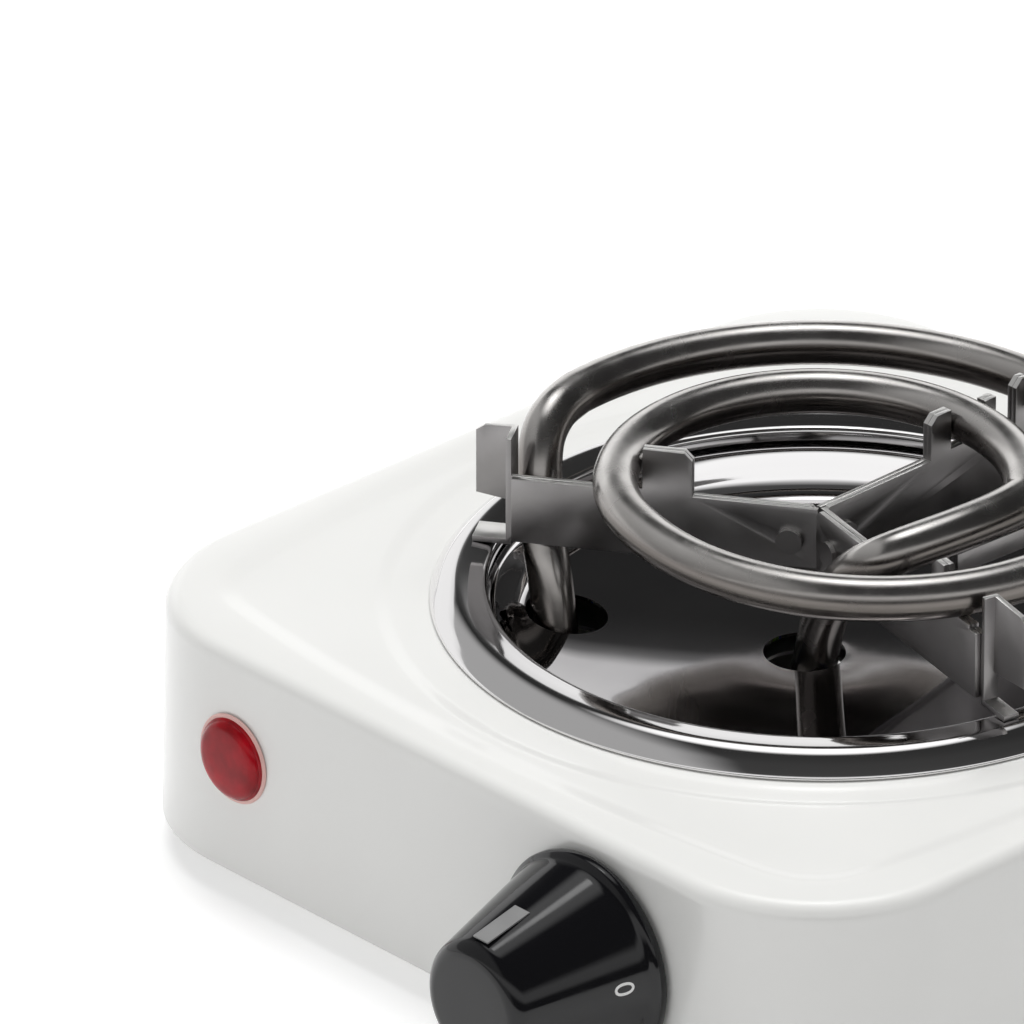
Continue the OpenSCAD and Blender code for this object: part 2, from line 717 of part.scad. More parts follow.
// Blade levels in the stack: the moving leaf lies just below the cam, the fixed blade below the leaf
leaf_t = 0.4;
blade_step = 2.6;
stud_h = 0.75;
stack_at = [knob_x, front_y + stack_y + 0.15, 0];
leaf_z = knob_z - cam_low_r - 0.25 - leaf_t;
blade_z = leaf_z - blade_step;
bimetal_z = leaf_z + blade_step;
stack_base = arm_low_z + bracket_t;
cam_at = stack_y - shaft_in + 1;
hinge_at = stack_r + 0.15;
stud_at = hinge_at + 7.5;

module thermostat_stack() {
    levels = [[stack_base, blade_z], [blade_z + leaf_t, leaf_z], [leaf_z + leaf_t, bimetal_z]];
    color("ivory") for (l = levels) {
        translate(stack_at + [0, 0, l[0]]) linear_extrude(l[1] - l[0]) ring_2d(stack_r, 1.55);
    }
}

module stack_rivet() {
    color("silver") translate(stack_at) {
        translate([0, 0, arm_low_z - 0.4]) cylinder(h = bimetal_z + 1 - arm_low_z, r = 1.5);
        translate([0, 0, bimetal_z + leaf_t]) cylinder(h = 0.8, r = 2.6);
        translate([0, 0, arm_low_z - 0.8]) cylinder(h = 0.8, r = 2.6);
    }
}

// Flat blade in the stack, reaching to the front and to the back of the rivet
module blade(z, front, back, w) {
    difference() {
        translate([-w / 2, -front, z]) cube([w, front + back, leaf_t]);
        translate([0, 0, z - 1]) cylinder(h = 3, r = 1.55);
    }
}

module bimetal_strip() {
    color("tan") translate(stack_at) blade(bimetal_z, 6, 24, 7);
}

module leaf_root() {
    color("goldenrod") translate(stack_at) {
        blade(leaf_z, stack_r, stack_r + 6, 6);
        translate([-9.5, stack_r + 1, leaf_z]) cube([7, 5, leaf_t]);
    }
}

module contact_leaf() {
    color("goldenrod") translate(stack_at) {
        translate([-3, -cam_at - 2.5, leaf_z]) cube([6, cam_at + 2.5 - hinge_at - 0.15, leaf_t]);
        translate([0, -stud_at, leaf_z - stud_h]) cylinder(h = stud_h + 0.1, r = 1.4);
    }
}

module fixed_blade() {
    color("goldenrod") translate(stack_at) {
        blade(blade_z, stud_at + 3, stack_r + 6, 6);
        translate([0, -stud_at, blade_z + leaf_t - 0.1]) cylinder(h = stud_h + 0.1, r = 1.4);
    }
}

// ---- wiring ----
block_x = cord_x - 4;
block_y = half_w - 39;
block_h = 11;
block_l = 24;
pole_dx = 8;
wire_r = 1.1;

module terminal_block() {
    color("ivory") translate([block_x, block_y, base_top]) difference() {
        translate([-block_l / 2, -7, 0]) cube([block_l, 14, block_h]);
        for (i = [-1, 0, 1]) {
            translate([i * pole_dx, 0, 5.5]) rotate([90, 0, 0]) cylinder(h = 20, r = 1.7, center = true);
            translate([i * pole_dx, 0, 5]) cylinder(h = 10, r = 1.8);
        }
    }
}

module terminal_screws() {
    color("goldenrod") for (i = [-1, 0, 1]) {
        translate([block_x + i * pole_dx, block_y, base_top + 5.6]) difference() {
            cylinder(h = block_h - 6.4, r = 1.7);
            translate([-2, -0.3, block_h - 7.2]) cube([4, 0.6, 2]);
        }
    }
}

lead_pin = lead_pts[0] + [0, 0, -7];
tail_pin = tail_pts[len(tail_pts) - 1] + [0, 0, -7];
block_in = block_y - 7;
wire_z = base_top + 5.5;

module wire(points) {
    tube(smooth_path(points, 3), wire_r, 8, [0, 0, 1]);
}

module wire_supply_thermostat() {
    color("saddlebrown") wire([[block_x + pole_dx, block_in + 3, wire_z],
                               [block_x + pole_dx, block_in - 4, wire_z],
                               [block_x + 10, 10, base_top + 2.6], [block_x + 5, -4, base_top + 2.4],
                               stack_at + [4, 24, blade_z - 4],
                               stack_at + [1, 17, blade_z - 2.2],
                               stack_at + [0, 13, blade_z - wire_r - rest_gap],
                               stack_at + [0, 9.5, blade_z - wire_r - rest_gap]]);
}

module wire_thermostat_coil() {
    color("black") wire([stack_at + [-6, 8.5, leaf_z - wire_r - rest_gap],
                         stack_at + [-10.5, 8, leaf_z - 2.2],
                         [14, front_y + 34.4, base_top + 4], [0, front_y + 35.4, base_top + 2.4],
                         [-16, -32, base_top + 2.6],
                         [lead_pin[0] + 4, lead_pin[1] - 5, lead_pin[2] - 3],
                         [lead_pin[0], lead_pin[1], lead_pin[2] - 0.2]]);
}

module wire_neutral_coil() {
    color("royalblue") wire([[block_x, block_in + 3, wire_z], [block_x, block_in - 4, wire_z],
                             [block_x - 10, block_y - 16, base_top + 3.4], [12, 8, base_top + 2.8],
                             tail_pin + [4, 2, -3], tail_pin + [1.25, 0, -0.2]]);
}

holder_back = front_y + 16;

module wire_lamp_supply() {
    color("firebrick") wire([[-lens_x + 1.6, holder_back + 0.2, lens_z],
                             [-lens_x + 2.2, holder_back + 5, lens_z - 1],
                             [-lens_x + 6.9, front_y + 31.4, base_top + 6],
                             [-20, front_y + 29.4, base_top + 3], [4, front_y + 27.4, base_top + 2],
                             [14, front_y + 29.4, base_top + 6], stack_at + [-12, 5, leaf_z + 2],
                             stack_at + [-6.5, 8.5, leaf_z + leaf_t + wire_r + 2 * rest_gap]]);
}

module wire_lamp_neutral() {
    color("steelblue") wire([[-lens_x - 1.6, holder_back + 0.2, lens_z],
                             [-lens_x - 2.2, holder_back + 5, lens_z - 1],
                             [-lens_x - 5.1, front_y + 35.4, base_top + 5],
                             [-lens_x + 2.9, -14, base_top + 2],
                             [-18, -1, base_top + 2.4], tail_pin + [-4.4, 0.6, -3],
                             tail_pin + [-1.25, 0, -0.2]]);
}

earth_x = -8;
earth_y = half_w - 21;

module earth_screw() {
    color("silver") translate([earth_x, earth_y, base_top + rest_gap]) {
        linear_extrude(0.8) ring_2d(4, 1.6);
        translate([0, 0, 0.8]) cylinder(h = 2, r = 3);
        translate([0, 0, -0.02]) cylinder(h = 1, r = 1.6);
    }
}

module wire_earth() {
    color("yellowgreen") wire([[block_x - pole_dx, block_in + 3, wire_z],
                               [block_x - pole_dx, block_in - 3.5, wire_z],
                               [block_x - 15, block_in - 5, base_top + 4],
                               [block_x - 19, block_y - 3, base_top + 2],
                               [12, earth_y - 8, base_top + 1.8],
                               [earth_x + 10, earth_y + 1, base_top + 1.5],
                               [earth_x + 5, earth_y, base_top + 1.3]]);
}

module cord_bush() {
    rear_y = half_w + side_lean / 2;
    color("dimgray") translate([cord_x, rear_y, cord_z]) rotate([90, 0, 0]) difference() {
        union() {
            translate([0, 0, rest_gap]) cylinder(h = 9, r = bush_neck_r - 0.1);
            translate([0, 0, -2]) cylinder(h = 2 - side_lean / 2, r = bush_neck_r + 2);
            translate([0, 0, -2]) cylinder(h = 4, r = bush_neck_r - 0.1);
            translate([0, 0, wall_in + 0.6]) cylinder(h = 1.6, r = bush_neck_r + 1.4);
        }
        translate([0, 0, -3]) cylinder(h = 14, r = cord_bore_r);
    }
}

housing_shell();
corner_brackets();
base_plate();
rubber_feet();
foot_screws();
trim_ring();
reflector_bowl();
heat_shield();
coil_sheath();
coil_end_seals();
coil_terminal_pins();
support_strip_left_back();
support_strip_back_right();
support_strip_right_left();
support_rivets();
inner_end_rail();
pilot_lens();
lamp_holder();
neon_bulb();
lamp_push_nut();
knob();
knob_pointer();
knob_spring();
thermostat_shaft();
thermostat_bush();
thermostat_bracket();
thermostat_screws();
thermostat_stack();
stack_rivet();
bimetal_strip();
leaf_root();
contact_leaf();
fixed_blade();
terminal_block();
terminal_screws();
wire_supply_thermostat();
wire_thermostat_coil();
wire_neutral_coil();
wire_lamp_supply();
wire_lamp_neutral();
earth_screw();
wire_earth();
cord_bush();
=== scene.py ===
import math

import bmesh
import bpy
from mathutils import Matrix, Vector


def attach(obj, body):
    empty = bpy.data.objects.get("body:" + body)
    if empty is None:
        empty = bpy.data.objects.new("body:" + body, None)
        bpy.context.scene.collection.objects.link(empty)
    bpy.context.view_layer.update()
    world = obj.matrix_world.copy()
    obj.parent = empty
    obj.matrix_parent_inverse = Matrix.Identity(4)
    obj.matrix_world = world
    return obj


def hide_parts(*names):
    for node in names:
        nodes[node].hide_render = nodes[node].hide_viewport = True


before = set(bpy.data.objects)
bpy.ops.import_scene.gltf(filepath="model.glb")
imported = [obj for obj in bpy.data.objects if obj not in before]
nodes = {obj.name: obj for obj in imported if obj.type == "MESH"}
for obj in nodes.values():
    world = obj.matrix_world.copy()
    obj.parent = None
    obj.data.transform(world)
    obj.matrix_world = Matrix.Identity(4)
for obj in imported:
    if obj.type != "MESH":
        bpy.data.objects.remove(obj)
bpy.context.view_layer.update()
scene = bpy.context.scene
scene.view_settings.view_transform = "Standard"
mm = 0.001
mergeWithin = 1e-6
print("frame loaded")


# camera
cameraSet = dict(spot=(1258.276, -1250.481, 963.707), azimuth=46.586, elevation=27.197, lens=495.37,
                 sensor=36, nearest=0.05, farthest=40)


def makeCamera():
    data = bpy.data.cameras.new("camera")
    data.lens = cameraSet["lens"]
    data.sensor_width = cameraSet["sensor"]
    data.sensor_fit = "HORIZONTAL"
    data.clip_start = cameraSet["nearest"]
    data.clip_end = cameraSet["farthest"]
    cam = bpy.data.objects.new("camera", data)
    scene.collection.objects.link(cam)
    a, e = math.radians(cameraSet["azimuth"]), math.radians(cameraSet["elevation"])
    right = Vector((math.cos(a), math.sin(a), 0))
    back = Vector((math.sin(a) * math.cos(e), -math.cos(a) * math.cos(e), math.sin(e)))
    turn = Matrix((right, back.cross(right), back)).transposed().to_4x4()
    cam.matrix_world = Matrix.Translation(Vector(cameraSet["spot"]) * mm) @ turn
    scene.camera = cam
    # level direction from the object toward the camera
    return Vector((back.x, back.y, 0)).normalized()


towardCamera = makeCamera()


# material helpers
def link(tree, a, b):
    tree.links.new(a, b)


def material(name, color, metallic=0.0, roughness=0.5, **sockets):
    mat = bpy.data.materials.new(name)
    mat.use_nodes = True
    shader = mat.node_tree.nodes["Principled BSDF"]
    shader.inputs["Base Color"].default_value = (*color, 1)
    shader.inputs["Metallic"].default_value = metallic
    shader.inputs["Roughness"].default_value = roughness
    for key, value in sockets.items():
        shader.inputs[key.replace("_", " ")].default_value = value
    return mat


def mathNode(tree, operation, a, b):
    node = tree.nodes.new("ShaderNodeMath")
    node.operation = operation
    for socket, value in zip(node.inputs, (a, b)):
        if isinstance(value, bpy.types.NodeSocket):
            link(tree, value, socket)
        else:
            socket.default_value = value
    return node.outputs[0]


# part of the noise's range in which a finish changes
noiseFrom, noiseTo = 0.3, 0.7


def objectNoise(mat, scale, detail=4, stretch=(1, 1, 1)):
    # noise that sticks to the piece, stretched for brushed grain
    tree = mat.node_tree
    coords = tree.nodes.new("ShaderNodeTexCoord")
    place = tree.nodes.new("ShaderNodeMapping")
    place.inputs["Scale"].default_value = stretch
    grain = tree.nodes.new("ShaderNodeTexNoise")
    grain.inputs["Scale"].default_value = scale
    grain.inputs["Detail"].default_value = detail
    link(tree, coords.outputs["Object"], place.inputs["Vector"])
    link(tree, place.outputs["Vector"], grain.inputs["Vector"])
    return grain.outputs["Fac"]


def remap(mat, source, low, high, start=noiseFrom, stop=noiseTo):
    tree = mat.node_tree
    spread = tree.nodes.new("ShaderNodeMapRange")
    spread.inputs["From Min"].default_value = start
    spread.inputs["From Max"].default_value = stop
    spread.inputs["To Min"].default_value = low
    spread.inputs["To Max"].default_value = high
    link(tree, source, spread.inputs["Value"])
    return spread.outputs["Result"]


def varyRoughness(mat, scale, low, high, **kw):
    shader = mat.node_tree.nodes["Principled BSDF"]
    link(mat.node_tree, remap(mat, objectNoise(mat, scale, **kw), low, high), shader.inputs["Roughness"])


def varyColor(mat, scale, colorA, colorB, **kw):
    tree = mat.node_tree
    ramp = tree.nodes.new("ShaderNodeValToRGB")
    ramp.color_ramp.elements[0].position = noiseFrom
    ramp.color_ramp.elements[1].position = noiseTo
    ramp.color_ramp.elements[0].color = (*colorA, 1)
    ramp.color_ramp.elements[1].color = (*colorB, 1)
    link(tree, objectNoise(mat, scale, **kw), ramp.inputs["Fac"])
    link(tree, ramp.outputs["Color"], tree.nodes["Principled BSDF"].inputs["Base Color"])


def addBump(mat, scale, depth, **kw):
    tree = mat.node_tree
    bump = tree.nodes.new("ShaderNodeBump")
    bump.inputs["Strength"].default_value = 1
    bump.inputs["Distance"].default_value = depth
    link(tree, objectNoise(mat, scale, **kw), bump.inputs["Height"])
    link(tree, bump.outputs["Normal"], tree.nodes["Principled BSDF"].inputs["Normal"])


def shadeByTilt(mat, color, start, stop, onUpright=True, normal="Normal"):
    # painted light and shade: a second colour where the surface stands upright, or where it lies flat,
    # standing in for the light or shade that falls on the surface by its tilt
    tree = mat.node_tree
    shader = tree.nodes["Principled BSDF"]
    faces = tree.nodes.new("ShaderNodeNewGeometry")
    split = tree.nodes.new("ShaderNodeSeparateXYZ")
    link(tree, faces.outputs[normal], split.inputs[0])
    blend = tree.nodes.new("ShaderNodeMix")
    blend.data_type = "RGBA"
    own, second = ("B", "A") if onUpright else ("A", "B")
    link(tree, remap(mat, split.outputs["Z"], 0, 1, start, stop), blend.inputs["Factor"])
    link(tree, shader.inputs["Base Color"].links[0].from_socket, blend.inputs[own])
    blend.inputs[second].default_value = (*color, 1)
    link(tree, blend.outputs["Result"], shader.inputs["Base Color"])


def makeEnamel():
    mat = material("whiteEnamel", (0.83, 0.83, 0.81), 0, 0.3, Coat_Weight=0.5, Coat_Roughness=0.12)
    varyColor(mat, 30, (0.815, 0.815, 0.795), (0.84, 0.84, 0.82))
    addBump(mat, 900, 0.000006, detail=2)
    return mat


def makeChrome():
    mat = material("brightChrome", (0.8, 0.79, 0.79), 1, 0.06)
    varyRoughness(mat, 60, 0.04, 0.1)
    return mat


def makeMirrorSteel():
    mat = material("mirrorSteel", (0.5, 0.49, 0.49), 1, 0.06)
    varyColor(mat, 45, (0.46, 0.45, 0.46), (0.54, 0.53, 0.53))
    varyRoughness(mat, 80, 0.015, 0.05)
    # painted reflection: the bowl's steep walls get a near-white colour that stands in for the bright
    # reflection on them
    shadeByTilt(mat, (0.97, 0.96, 0.96), 0.55, 0.85)
    return mat


def makeSheathSteel():
    mat = material("satinSheath", (0.62, 0.6, 0.58), 1, 0.26)
    varyColor(mat, 60, (0.6, 0.58, 0.56), (0.8, 0.78, 0.76), detail=6)
    varyRoughness(mat, 200, 0.18, 0.3, detail=6)
    addBump(mat, 900, 0.000004, detail=4)
    # painted shade: the coil's upright flanks and underside get a dark colour that stands in for the dark
    # reflections on the tube's sides
    shadeByTilt(mat, (0.17, 0.155, 0.145), 0.25, 0.85)
    return mat


def makeStripSteel():
    mat = material("bareStrip", (0.3, 0.29, 0.29), 1, 0.34)
    varyColor(mat, 70, (0.24, 0.23, 0.23), (0.33, 0.32, 0.32), detail=6)
    varyRoughness(mat, 160, 0.28, 0.42, detail=6)
    addBump(mat, 900, 0.00001, detail=5, stretch=(1, 1, 0.2))
    # painted highlight: faces of the strips that face upward get a near-white colour that stands in for their
    # bright lit top edges
    shadeByTilt(mat, (0.95, 0.94, 0.92), 0.5, 0.8, onUpright=False, normal="True Normal")
    return mat


def makeKnobBlack():
    mat = material("blackKnob", (0.005, 0.005, 0.006), 0, 0.08, Specular_IOR_Level=0.4)
    varyRoughness(mat, 200, 0.05, 0.12)
    addBump(mat, 500, 0.000003, detail=3)
    return mat


def makeRedLens():
    mat = material("redLens", (0.42, 0.01, 0.025), 0, 0.16, Specular_IOR_Level=0.22, Subsurface_Weight=0.15,
                   Subsurface_Scale=0.002)
    varyColor(mat, 260, (0.2, 0.001, 0.004), (0.42, 0.004, 0.012), detail=3)
    return mat


def grainy(name, color, metallic, roughness, spread=0.08, scale=120, bump=0.00001):
    mat = material(name, color, metallic, roughness)
    dark = tuple(c * (1 - spread) for c in color)
    varyColor(mat, scale, dark, color)
    varyRoughness(mat, scale * 2, max(roughness - 0.06, 0.02), roughness + 0.06)
    addBump(mat, scale * 6, bump)
    return mat


mats = dict(
    enamel=makeEnamel(), chrome=makeChrome(), mirror=makeMirrorSteel(), sheath=makeSheathSteel(),
    strip=makeStripSteel(), knob=makeKnobBlack(), lens=makeRedLens(),
    zinc=grainy("zincSteel", (0.6, 0.6, 0.58), 1, 0.35),
    alu=grainy("aluminisedSteel", (0.68, 0.68, 0.67), 1, 0.4),
    rubber=grainy("blackRubber", (0.025, 0.025, 0.025), 0, 0.75, 0.2, 200, 0.00004),
    ceramic=grainy("ceramicBlock", (0.8, 0.77, 0.68), 0, 0.55, 0.06),
    nylon=grainy("whiteNylon", (0.78, 0.78, 0.75), 0, 0.45, 0.05),
    brass=grainy("brassBlade", (0.72, 0.55, 0.25), 1, 0.3),
    bimetal=grainy("bimetalBlade", (0.6, 0.5, 0.38), 1, 0.35),
    pointer=grainy("greyPointer", (0.3, 0.3, 0.3), 0.3, 0.35),
    brown=grainy("brownWire", (0.2, 0.08, 0.03), 0, 0.5),
    black=grainy("blackWire", (0.02, 0.02, 0.02), 0, 0.5),
    blue=grainy("blueWire", (0.03, 0.1, 0.4), 0, 0.5),
    green=grainy("greenWire", (0.25, 0.42, 0.05), 0, 0.5),
    white=grainy("whitePrint", (0.85, 0.85, 0.84), 0, 0.5, 0.04),
    seat=grainy("pinkSeat", (0.8, 0.5, 0.46), 0, 0.35, 0.04),
    glass=material("bulbGlass", (0.95, 0.85, 0.75), 0, 0.05, Transmission_Weight=0.9))

cadFinish = dict(
    corner_brackets="zinc", base_plate="zinc", rubber_feet="rubber", foot_screws="zinc", heat_shield="alu",
    coil_end_seals="ceramic", coil_terminal_pins="zinc", support_rivets="strip", inner_end_rail="strip",
    lamp_holder="nylon", neon_bulb="glass", lamp_push_nut="zinc", knob_pointer="pointer", knob_spring="zinc",
    thermostat_shaft="zinc", thermostat_bush="brass", thermostat_bracket="zinc", thermostat_screws="zinc",
    thermostat_stack="ceramic", stack_rivet="zinc", bimetal_strip="bimetal", leaf_root="brass",
    contact_leaf="brass", fixed_blade="brass", terminal_block="ceramic", terminal_screws="brass",
    wire_supply_thermostat="brown", wire_thermostat_coil="black", wire_neutral_coil="blue",
    wire_lamp_supply="brown", wire_lamp_neutral="blue", earth_screw="zinc", wire_earth="green",
    cord_bush="rubber", housing_shell="enamel", trim_ring="chrome", reflector_bowl="mirror",
    coil_sheath="sheath", support_strip_left_back="strip", support_strip_back_right="strip",
    support_strip_right_left="strip", pilot_lens="lens", knob="knob")
for name, key in cadFinish.items():
    nodes[name].data.materials.clear()
    nodes[name].data.materials.append(mats[key])
print("materials made")


# shape helpers
def finishPiece(name, bm, matKey, body="body", stands=(), sharp=40, outward=True):
    # merges doubled points, gives the mesh its place in the scene and hides the CAD pieces it stands for
    bmesh.ops.remove_doubles(bm, verts=bm.verts, dist=mergeWithin)
    if outward:
        bmesh.ops.recalc_face_normals(bm, faces=bm.faces)
    data = bpy.data.meshes.new(name)
    bm.to_mesh(data)
    bm.free()
    data.shade_smooth()
    data.set_sharp_from_angle(angle=math.radians(sharp))
    obj = bpy.data.objects.new(name, data)
    scene.collection.objects.link(obj)
    data.materials.append(mats[matKey])
    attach(obj, body)
    if stands:
        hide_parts(*stands)
    return obj


def softLine(points, steps):
    # Catmull-Rom curve through points of any dimension
    out = []
    last = len(points) - 1
    for i in range(last):
        a, b = Vector(points[max(i - 1, 0)]), Vector(points[i])
        c, d = Vector(points[i + 1]), Vector(points[min(i + 2, last)])
        for k in range(steps):
            t = k / steps
            out.append(0.5 * (2 * b + (c - a) * t + (2 * a - 5 * b + 4 * c - d) * t * t
                              + (3 * b - a - 3 * c + d) * t ** 3))
    out.append(Vector(points[last]))
    return out


def spinProfile(points, steps, closed=False):
    # turns a profile of (radius, height) in millimetres about Z
    bm = bmesh.new()
    verts = [bm.verts.new((max(p[0], 0) * mm, 0, p[1] * mm)) for p in points]
    edges = [bm.edges.new(pair) for pair in zip(verts, verts[1:])]
    if closed:
        edges.append(bm.edges.new((verts[-1], verts[0])))
    bmesh.ops.spin(bm, geom=verts + edges, cent=(0, 0, 0), axis=(0, 0, 1), dvec=(0, 0, 0),
                   angle=2 * math.pi, steps=steps, use_merge=True, use_duplicate=False)
    bmesh.ops.remove_doubles(bm, verts=bm.verts, dist=mergeWithin)
    return bm


def applyModifiers(obj, sharp=40):
    graph = bpy.context.evaluated_depsgraph_get()
    data = bpy.data.meshes.new_from_object(obj.evaluated_get(graph), preserve_all_data_layers=True,
                                           depsgraph=graph)
    obj.modifiers.clear()
    obj.data = data
    obj.data.shade_smooth()
    obj.data.set_sharp_from_angle(angle=math.radians(sharp))


def thicken(obj, sheet):
    # gives a surface the thickness of its sheet, inward
    wall = obj.modifiers.new("wall", "SOLIDIFY")
    wall.thickness = sheet * mm
    wall.offset = -1


def bakedMesh(name, data):
    # the mesh that a curve or a figure gives
    holder = bpy.data.objects.new(name, data)
    scene.collection.objects.link(holder)
    bpy.context.view_layer.update()
    baked = bpy.data.meshes.new_from_object(holder.evaluated_get(bpy.context.evaluated_depsgraph_get()))
    bpy.data.objects.remove(holder)
    bm = bmesh.new()
    bm.from_mesh(baked)
    return bm


edgeSet = dict(mergeWithin=2e-6, flatWithin=1, angle=30, segments=2, sharp=50)


def edgedCopy(nodeName, name, matKey, width):
    # a copy of a CAD solid with its doubles merged and its edges eased
    bm = bmesh.new()
    bm.from_mesh(nodes[nodeName].data)
    bmesh.ops.remove_doubles(bm, verts=bm.verts, dist=edgeSet["mergeWithin"])
    flat = math.radians(edgeSet["flatWithin"])
    bmesh.ops.dissolve_limit(bm, angle_limit=flat, verts=bm.verts, edges=bm.edges)
    bent = math.radians(edgeSet["angle"])
    edges = [e for e in bm.edges if len(e.link_faces) == 2 and e.calc_face_angle(0) > bent]
    bmesh.ops.bevel(bm, geom=edges, offset=width * mm, offset_type="OFFSET", affect="EDGES",
                    segments=edgeSet["segments"], profile=0.5, material=-1, clamp_overlap=True)
    finishPiece(name, bm, matKey, "body", [nodeName], sharp=edgeSet["sharp"], outward=False)


# pressed steel body
bodySet = dict(half=73.0, corner=25.0, bottom=5.0, top=39.5, lean=0.8, bend=2.5, sheet=0.8,
               deckInset=6.5, deckBow=6.5, deckDrop=0.4, deckSlope=2.2, deckCorner=1.26, deckSoft=1.1,
               seatR=62.0, seatDrop=0.4, seatSlope=1.5, holeR=49.0, directions=384,
               rimLip=0.15, rimFlat=1.2, wallRows=(12, 20, 28, 34), shoulder=0.3, bendSteps=8, slopeSteps=10,
               deckRows=(0.25, 0.5, 0.75), seatRows=(58, 54), holeLip=0.2)
deckZ = bodySet["top"] - bodySet["deckDrop"]
seatZ = deckZ - bodySet["seatDrop"]


def bodyReach(c, s, half, corner):
    # distance from the middle to a rounded square's side in the direction (c, s)
    a, b = abs(c), abs(s)
    flat = half / max(a, b)
    if min(a, b) * flat <= half - corner:
        return flat
    middle = (half - corner) * (a + b)
    return middle + math.sqrt(middle * middle - 2 * (half - corner) ** 2 + corner * corner)


def deckReach(c, s):
    half = bodySet["half"] - bodySet["deckInset"]
    bow = bodySet["deckBow"]
    r = ((bodySet["half"] - bow) ** 2 + bow * bow) / (2 * bow)
    reach = []
    for x, y in ((half - r, 0), (r - half, 0), (0, half - r), (0, r - half)):
        along = c * x + s * y
        reach.append(along + math.sqrt(along * along - x * x - y * y + r * r))
    reach.append(half * bodySet["deckCorner"])
    soft = bodySet["deckSoft"]
    return -math.log(sum(math.exp(-v * soft) for v in reach)) / soft


def bodyRings():
    # each ring: a function of direction giving (distance, height)
    b = bodySet
    rings = []

    def side(z, inset=0.0):
        lean = b["lean"] * (b["top"] - z) / (b["top"] - b["bottom"])
        rings.append(lambda c, s: (bodyReach(c, s, b["half"] + lean - inset, b["corner"] + lean - inset), z))

    bendZ = b["top"] - b["bend"]
    rim = (b["bottom"], b["bottom"] + b["rimLip"], b["bottom"] + b["rimFlat"])
    for z in (*rim, *b["wallRows"], bendZ - b["shoulder"]):
        side(z)
    for k in range(b["bendSteps"] + 1):
        a = math.pi / 2 * k / b["bendSteps"]
        side(bendZ + b["bend"] * math.sin(a), b["bend"] * (1 - math.cos(a)))

    def slope(k, width, zTop, drop):
        t = k / b["slopeSteps"]
        return width * (1 - 2 * t), zTop - drop * (3 * t * t - 2 * t ** 3)

    for k in range(b["slopeSteps"] + 1):
        off, z = slope(k, b["deckSlope"], b["top"], b["deckDrop"])
        rings.append(lambda c, s, off=off, z=z: (deckReach(c, s) + off, z))
    for t in b["deckRows"]:
        rings.append(lambda c, s, t=t: ((deckReach(c, s) - b["deckSlope"]) * (1 - t)
                                        + (b["seatR"] + b["seatSlope"]) * t, deckZ))
    for k in range(b["slopeSteps"] + 1):
        off, z = slope(k, b["seatSlope"], deckZ, b["seatDrop"])
        rings.append(lambda c, s, off=off, z=z: (b["seatR"] + off, z))
    for r in (*b["seatRows"], b["holeR"] + b["holeLip"], b["holeR"]):
        rings.append(lambda c, s, r=r: (r, seatZ))
    return rings


def makeBody():
    n = bodySet["directions"]
    rings = bodyRings()
    bm = bmesh.new()
    loop = bmesh.ops.create_circle(bm, cap_ends=False, radius=1, segments=n)["verts"]
    edges = list(bm.edges)

    def place(verts, ring):
        for v in verts:
            d = Vector((v.co.x, v.co.y)).normalized()
            reach, z = ring(d.x, d.y)
            v.co = (d.x * reach * mm, d.y * reach * mm, z * mm)

    place(loop, rings[0])
    for ring in rings[1:]:
        grown = bmesh.ops.extrude_edge_only(bm, edges=edges)["geom"]
        verts = {g for g in grown if isinstance(g, bmesh.types.BMVert)}
        edges = [g for g in grown if isinstance(g, bmesh.types.BMEdge) and verts.issuperset(g.verts)]
        place(verts, ring)
    obj = finishPiece("pressedBody", bm, "enamel", stands=["housing_shell"], sharp=60)
    thicken(obj, bodySet["sheet"])


makeBody()
print("body pressed")


# bowl and chrome ring
curveSteps = 5
ringSet = dict(steps=256, wall=0.4,
               profile=[(54.9, 0.02), (55.15, 0.1), (55.28, 0.28), (55.3, 0.48), (55.1, 0.85), (54.5, 1.55),
                        (53.7, 2.32), (52.7, 2.98), (51.9, 3.32), (51.3, 3.4), (50.2, 3.36), (49.0, 3.27),
                        (47.9, 3.16), (47.35, 2.9), (47.08, 2.3), (47.06, 1.2)])
bowlSet = dict(steps=256, floor=8.8, wall=0.5, holes=((-30.3, -20.6), (-1.4, -1.4)), holeR=5.9, holeSteps=64,
               cutDepth=20,
               profile=[(0, 0), (5, 0.09), (10, 0.24), (18, 0.6), (26, 1.13), (33, 1.75), (38, 2.3),
                        (41, 2.8), (42.9, 3.5), (44.0, 4.8), (44.8, 6.3), (45.5, 7.7), (46.1, 8.8),
                        (46.5, 9.15),
                        (47.2, 9.3), (49, 9.3), (51.2, 9.3)])
bowlZ = seatZ - bowlSet["floor"]


def makeRing():
    line = [(p.x, p.y + seatZ) for p in softLine(ringSet["profile"], curveSteps)]
    obj = finishPiece("chromeRing", spinProfile(line, ringSet["steps"]), "chrome",
                      stands=["trim_ring"], sharp=80)
    thicken(obj, ringSet["wall"])


